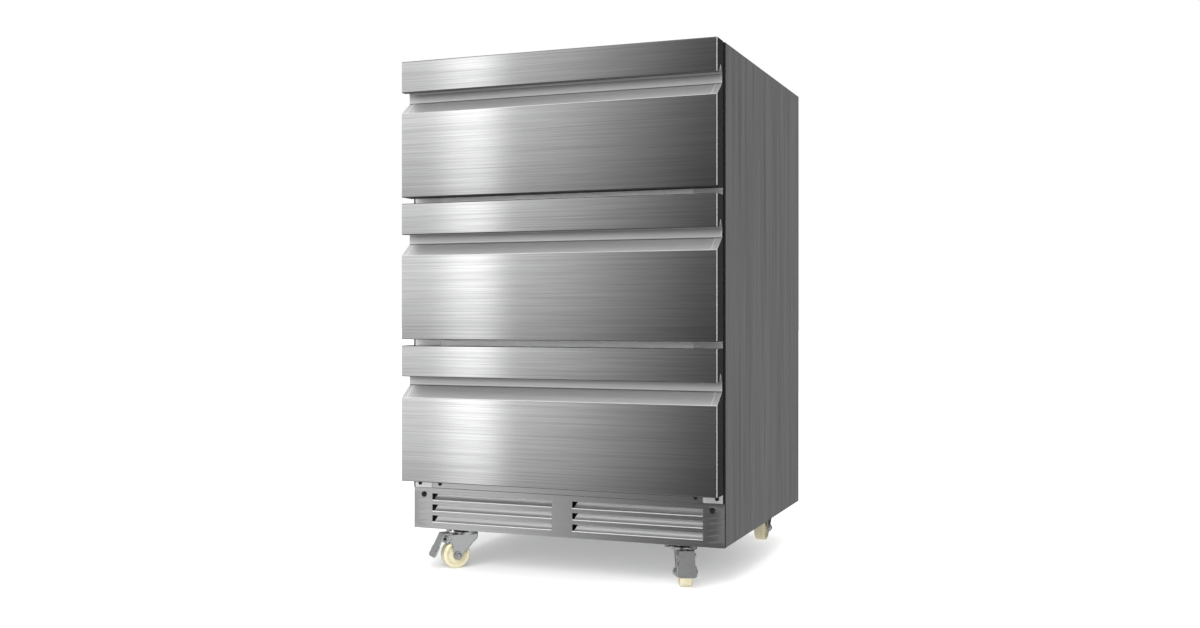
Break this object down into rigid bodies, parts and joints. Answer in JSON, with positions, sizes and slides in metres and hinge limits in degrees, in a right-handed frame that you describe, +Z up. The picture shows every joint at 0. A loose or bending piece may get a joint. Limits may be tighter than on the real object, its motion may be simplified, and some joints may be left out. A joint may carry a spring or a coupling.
{
  "type": "under counter fridge",
  "caption": "Stainless under counter fridge with stacked insulated drawers, finger channels, a louvred kick panel and swivel casters.",
  "frame": {"origin": "on the floor, under the centre of the cabinet's box with the drawers closed", "axes": "+Z up, +X to the right as seen from the front, drawers open towards -Y"},
  "size_m": [0.58, 0.612, 0.905],
  "materials": {
    "steel_front": "satin",
    "steel_side": "satin",
    "steel_frame": "satin",
    "steel_inner": "satin",
    "galvanised": "satin",
    "zinc_plated": "satin",
    "black_trim": "matte",
    "seal": "matte",
    "moulded_panel": "satin",
    "foam": "matte",
    "black_screw": "satin",
    "nylon": "satin",
    "fins": "satin",
    "black_paint": "gloss",
    "copper": "satin",
    "motor_case": "satin",
    "grey_plastic": "matte"
  },
  "bodies": {
    "cabinet": {"left_side_panel": "steel_side", "right_side_panel": "steel_side", "top_panel": "steel_side", "rear_panel": "galvanised", "rear_grille": "galvanised", "base_pan": "galvanised", "inner_liner": "steel_inner", "foam_insulation": "foam", "frame_stiles": "steel_frame", "frame_rails": "steel_frame", "sill_rail": "steel_frame", "breaker_strips": "black_trim", "louvre_panel": "steel_frame", "panel_screws": "black_screw", "fixed_rails": "zinc_plated", "evaporator_coil": "fins", "evaporator_cover": "steel_inner", "evaporator_fan_motor": "motor_case", "compressor": "black_paint", "compressor_grommets": "seal", "condenser_coil": "fins", "condenser_fan_shroud": "galvanised", "condenser_fan_motor": "motor_case", "drain_tray": "grey_plastic", "refrigerant_lines": "copper", "control_box": "grey_plastic", "power_inlet": "black_trim", "caster_plates": "zinc_plated", "caster_bolts": "zinc_plated"},
    "drawer_1": {"drawer_1_front": "steel_front", "drawer_1_core": "moulded_panel", "drawer_1_gasket": "seal", "drawer_1_box": "steel_inner", "drawer_1_runners": "zinc_plated"},
    "drawer_1_slides": {"drawer_1_mid_rails": "zinc_plated"},
    "drawer_2": {"drawer_2_front": "steel_front", "drawer_2_core": "moulded_panel", "drawer_2_gasket": "seal", "drawer_2_box": "steel_inner", "drawer_2_runners": "zinc_plated"},
    "drawer_2_slides": {"drawer_2_mid_rails": "zinc_plated"},
    "drawer_3": {"drawer_3_front": "steel_front", "drawer_3_core": "moulded_panel", "drawer_3_gasket": "seal", "drawer_3_box": "steel_inner", "drawer_3_runners": "zinc_plated"},
    "drawer_3_slides": {"drawer_3_mid_rails": "zinc_plated"},
    "front_left_caster": {"front_left_fork": "zinc_plated"},
    "front_left_wheel": {"front_left_wheel": "nylon"},
    "front_left_pedal": {"front_left_brake_pedal": "zinc_plated"},
    "front_right_caster": {"front_right_fork": "zinc_plated"},
    "front_right_wheel": {"front_right_wheel": "nylon"},
    "front_right_pedal": {"front_right_brake_pedal": "zinc_plated"},
    "rear_left_caster": {"rear_left_fork": "zinc_plated"},
    "rear_left_wheel": {"rear_left_wheel": "nylon"},
    "rear_right_caster": {"rear_right_fork": "zinc_plated"},
    "rear_right_wheel": {"rear_right_wheel": "nylon"},
    "evaporator_fan": {"evaporator_fan_blade": "grey_plastic"},
    "condenser_fan": {"condenser_fan_blade": "fins"}
  },
  "joints": [
    {"name": "drawer_1_slide", "type": "slide", "parent": "cabinet", "child": "drawer_1", "axis": [0, -1, 0], "range_m": [0, 0.4]},
    {"name": "drawer_1_mid_slide", "type": "slide", "parent": "cabinet", "child": "drawer_1_slides", "axis": [0, -1, 0], "range_m": [0, 0.2]},
    {"name": "drawer_2_slide", "type": "slide", "parent": "cabinet", "child": "drawer_2", "axis": [0, -1, 0], "range_m": [0, 0.4]},
    {"name": "drawer_2_mid_slide", "type": "slide", "parent": "cabinet", "child": "drawer_2_slides", "axis": [0, -1, 0], "range_m": [0, 0.2]},
    {"name": "drawer_3_slide", "type": "slide", "parent": "cabinet", "child": "drawer_3", "axis": [0, -1, 0], "range_m": [0, 0.3]},
    {"name": "drawer_3_mid_slide", "type": "slide", "parent": "cabinet", "child": "drawer_3_slides", "axis": [0, -1, 0], "range_m": [0, 0.15]},
    {"name": "front_left_swivel", "type": "hinge", "parent": "cabinet", "child": "front_left_caster", "pos_m": [-0.207, -0.219, 0.06], "axis": [0, 0, 1], "continuous": true},
    {"name": "front_left_roll", "type": "hinge", "parent": "front_left_caster", "child": "front_left_wheel", "pos_m": [-0.22038, -0.23386, 0.025], "axis": [0.7431, -0.6691, 0], "continuous": true},
    {"name": "front_left_brake", "type": "hinge", "parent": "front_left_caster", "child": "front_left_pedal", "pos_m": [-0.23109, -0.24575, 0.055], "axis": [0.7431, -0.6691, 0], "range_deg": [0, 15]},
    {"name": "front_right_swivel", "type": "hinge", "parent": "cabinet", "child": "front_right_caster", "pos_m": [0.207, -0.219, 0.06], "axis": [0, 0, 1], "continuous": true},
    {"name": "front_right_roll", "type": "hinge", "parent": "front_right_caster", "child": "front_right_wheel", "pos_m": [0.21482, -0.23741, 0.025], "axis": [0.9205, 0.3907, 0], "continuous": true},
    {"name": "front_right_brake", "type": "hinge", "parent": "front_right_caster", "child": "front_right_pedal", "pos_m": [0.22107, -0.25214, 0.055], "axis": [0.9205, 0.3907, 0], "range_deg": [0, 15]},
    {"name": "rear_left_swivel", "type": "hinge", "parent": "cabinet", "child": "rear_left_caster", "pos_m": [-0.228, 0.262, 0.06], "axis": [0, 0, 1], "continuous": true},
    {"name": "rear_left_roll", "type": "hinge", "parent": "rear_left_caster", "child": "rear_left_wheel", "pos_m": [-0.23216, 0.24244, 0.025], "axis": [0.9781, -0.2079, 0], "continuous": true},
    {"name": "rear_right_swivel", "type": "hinge", "parent": "cabinet", "child": "rear_right_caster", "pos_m": [0.228, 0.262, 0.06], "axis": [0, 0, 1], "continuous": true},
    {"name": "rear_right_roll", "type": "hinge", "parent": "rear_right_caster", "child": "rear_right_wheel", "pos_m": [0.228, 0.242, 0.025], "axis": [1, 0, 0], "continuous": true},
    {"name": "evaporator_fan_spin", "type": "hinge", "parent": "cabinet", "child": "evaporator_fan", "pos_m": [0, 0.2, 0.778], "axis": [0, 1, 0], "continuous": true},
    {"name": "condenser_fan_spin", "type": "hinge", "parent": "cabinet", "child": "condenser_fan", "pos_m": [-0.18, 0.21, 0.158], "axis": [0, 1, 0], "continuous": true}
  ],
  "couplings": [
    {"joint": "drawer_1_mid_slide", "follows": "drawer_1_slide", "ratio": 0.5},
    {"joint": "drawer_2_mid_slide", "follows": "drawer_2_slide", "ratio": 0.5},
    {"joint": "drawer_3_mid_slide", "follows": "drawer_3_slide", "ratio": 0.5}
  ]
}
